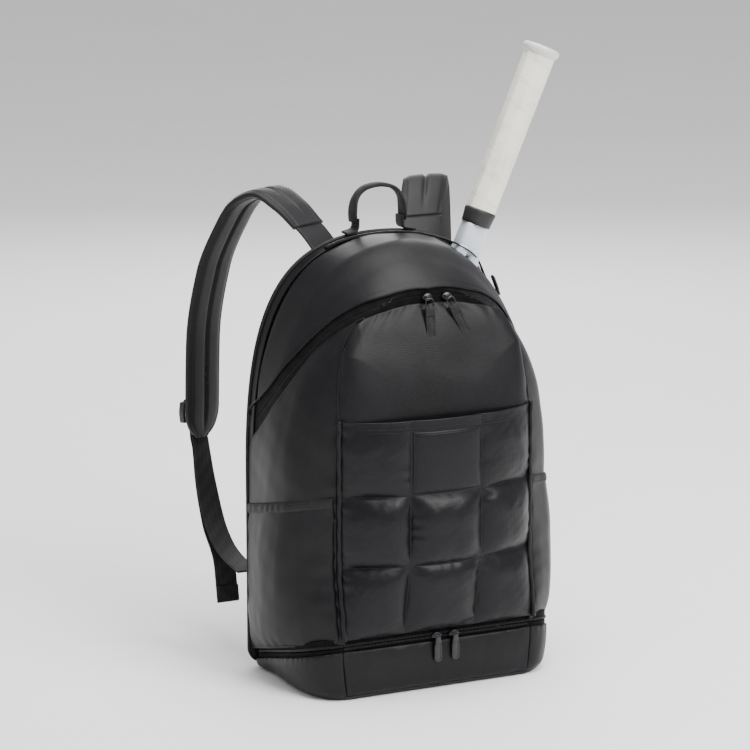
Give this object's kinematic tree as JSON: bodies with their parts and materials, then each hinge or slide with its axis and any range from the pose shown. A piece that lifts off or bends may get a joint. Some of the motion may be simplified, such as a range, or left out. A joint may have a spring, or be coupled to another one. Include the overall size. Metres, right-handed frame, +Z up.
{
  "type": "racket backpack",
  "caption": "Padded backpack with a zipped front lid, quilted pocket, side pockets, shoe compartment, shoulder straps and a racket held in a rear sleeve.",
  "frame": {"origin": "on the floor under the middle of the bag, where the base panel rests", "axes": "+Z up, -Y out of the front of the bag, +X to the right seen from the front"},
  "size_m": [0.3975, 0.342, 0.6845],
  "materials": {
    "board": "stiffener sheet",
    "grip_wrap": "wrapped tacky tape",
    "lining": "plain lining",
    "mesh_fabric": "spacer mesh over foam",
    "moulded_plastic": "moulded, satin",
    "padded_fabric": "quilted woven nylon",
    "piping": "bound cord edge",
    "racket_dark": "moulded",
    "racket_paint": "pale lacquer",
    "shell_fabric": "fine woven nylon, soft sheen",
    "slider_metal": "dark lacquered",
    "string": "string bed",
    "webbing": "ribbed webbing",
    "zip_tape": "knitted tape with nylon coil"
  },
  "bodies": {
    "bag": {"back_panel": "shell_fabric", "back_board": "board", "back_piping": "piping", "back_pads": "mesh_fabric", "hood": "shell_fabric", "racket_divider": "lining", "side_panel_left": "shell_fabric", "side_panel_right": "shell_fabric", "side_pocket_left": "shell_fabric", "side_pocket_right": "shell_fabric", "side_pocket_hems": "webbing", "front_panel": "shell_fabric", "quilted_pocket": "padded_fabric", "pocket_hem": "webbing", "pocket_patch": "shell_fabric", "front_piping": "piping", "base_panel": "shell_fabric", "base_side_left": "shell_fabric", "base_side_right": "shell_fabric", "shoe_zip_tape": "zip_tape", "shoe_zip_side_tapes": "zip_tape", "shoe_floor": "lining", "main_zip_tape": "zip_tape", "sleeve_zip_tape": "zip_tape", "handle_tabs": "webbing", "strap_tabs": "webbing", "strap_anchors": "shell_fabric"},
    "lid": {"lid_panel": "padded_fabric", "lid_piping": "piping", "lid_zip_tape": "zip_tape", "lid_side_tapes": "zip_tape", "lid_gusset_left": "shell_fabric", "lid_gusset_right": "shell_fabric"},
    "shoe_flap": {"shoe_flap": "shell_fabric", "flap_zip_tape": "zip_tape"},
    "racket": {"racket_grip": "grip_wrap", "racket_butt_cap": "racket_dark", "racket_collar": "racket_dark", "racket_frame": "racket_paint", "racket_strings": "string"},
    "carry_handle": {"carry_handle": "webbing"},
    "sleeve_slider": {"sleeve_slider": "slider_metal"},
    "sleeve_pull": {"sleeve_pull": "moulded_plastic"},
    "main_slider_left": {"main_slider_left": "slider_metal"},
    "main_pull_left": {"main_bail_left": "slider_metal", "main_pull_left": "webbing"},
    "main_slider_right": {"main_slider_right": "slider_metal"},
    "main_pull_right": {"main_bail_right": "slider_metal", "main_pull_right": "webbing"},
    "shoe_slider_left": {"shoe_slider_left": "slider_metal"},
    "shoe_pull_left": {"shoe_pull_left": "moulded_plastic"},
    "shoe_slider_right": {"shoe_slider_right": "slider_metal"},
    "shoe_pull_right": {"shoe_pull_right": "moulded_plastic"},
    "strap_left": {"shoulder_pad_left": "mesh_fabric", "ladder_lock_left": "moulded_plastic", "strap_webbing_left": "webbing"},
    "strap_right": {"shoulder_pad_right": "mesh_fabric", "ladder_lock_right": "moulded_plastic", "strap_webbing_right": "webbing"}
  },
  "joints": [
    {"name": "lid_fold", "type": "hinge", "parent": "bag", "child": "lid", "pos_m": [0, -0.085, 0.305], "axis": [1, 0, 0], "range_deg": [0, 45], "deforming": ["lid_gusset_left", "lid_gusset_right", "lid_side_tapes"]},
    {"name": "shoe_flap_drop", "type": "hinge", "parent": "bag", "child": "shoe_flap", "pos_m": [0, -0.073, 0.0042], "axis": [1, 0, 0], "range_deg": [0, 60]},
    {"name": "racket_slide", "type": "slide", "parent": "bag", "child": "racket", "axis": [0.3879, 0, 0.9217], "range_m": [0, 0.012]},
    {"name": "handle_swing", "type": "hinge", "parent": "bag", "child": "carry_handle", "pos_m": [0, 0.084, 0.494], "axis": [1, 0, 0], "range_deg": [-70, 70]},
    {"name": "main_slider_left_run", "type": "hinge", "parent": "lid", "child": "main_slider_left", "pos_m": [0, -0.09095, 0.11639], "axis": [0, -0.9903, 0.1393], "range_deg": [0, 13]},
    {"name": "main_pull_left_swing", "type": "hinge", "parent": "main_slider_left", "child": "main_pull_left", "pos_m": [-0.003, -0.05388, 0.43027], "axis": [-1, 0, 0], "range_deg": [0, 150]},
    {"name": "main_slider_right_run", "type": "hinge", "parent": "lid", "child": "main_slider_right", "pos_m": [0, -0.09095, 0.11639], "axis": [0, -0.9903, 0.1393], "range_deg": [-11, 0]},
    {"name": "main_pull_right_swing", "type": "hinge", "parent": "main_slider_right", "child": "main_pull_right", "pos_m": [0.02, -0.05396, 0.42965], "axis": [-1, 0, 0], "range_deg": [0, 150]},
    {"name": "shoe_slider_left_run", "type": "slide", "parent": "shoe_flap", "child": "shoe_slider_left", "axis": [1, 0, 0], "range_m": [-0.09, 0]},
    {"name": "shoe_pull_left_swing", "type": "hinge", "parent": "shoe_slider_left", "child": "shoe_pull_left", "pos_m": [-0.003, -0.0795, 0.0607], "axis": [-1, 0, 0], "range_deg": [0, 120]},
    {"name": "shoe_slider_right_run", "type": "slide", "parent": "shoe_flap", "child": "shoe_slider_right", "axis": [1, 0, 0], "range_m": [0, 0.08]},
    {"name": "shoe_pull_right_swing", "type": "hinge", "parent": "shoe_slider_right", "child": "shoe_pull_right", "pos_m": [0.018, -0.0795, 0.0607], "axis": [-1, 0, 0], "range_deg": [0, 120]},
    {"name": "sleeve_slider_run", "type": "slide", "parent": "bag", "child": "sleeve_slider", "axis": [0.3689, 0, -0.9295], "range_m": [0, 0.008]},
    {"name": "sleeve_pull_swing", "type": "hinge", "parent": "sleeve_slider", "child": "sleeve_pull", "pos_m": [0.14276, 0.0685, 0.39968], "axis": [0, 1, 0], "range_deg": [0, 120]},
    {"name": "strap_left_swing", "type": "hinge", "parent": "bag", "child": "strap_left", "pos_m": [-0.15, 0.088, 0.108], "axis": [0.2663, -0.0053, 0.9639], "range_deg": [-40, 20]},
    {"name": "strap_right_swing", "type": "hinge", "parent": "bag", "child": "strap_right", "pos_m": [0.15, 0.088, 0.108], "axis": [-0.2663, -0.0053, 0.9639], "range_deg": [-20, 40]}
  ]
}
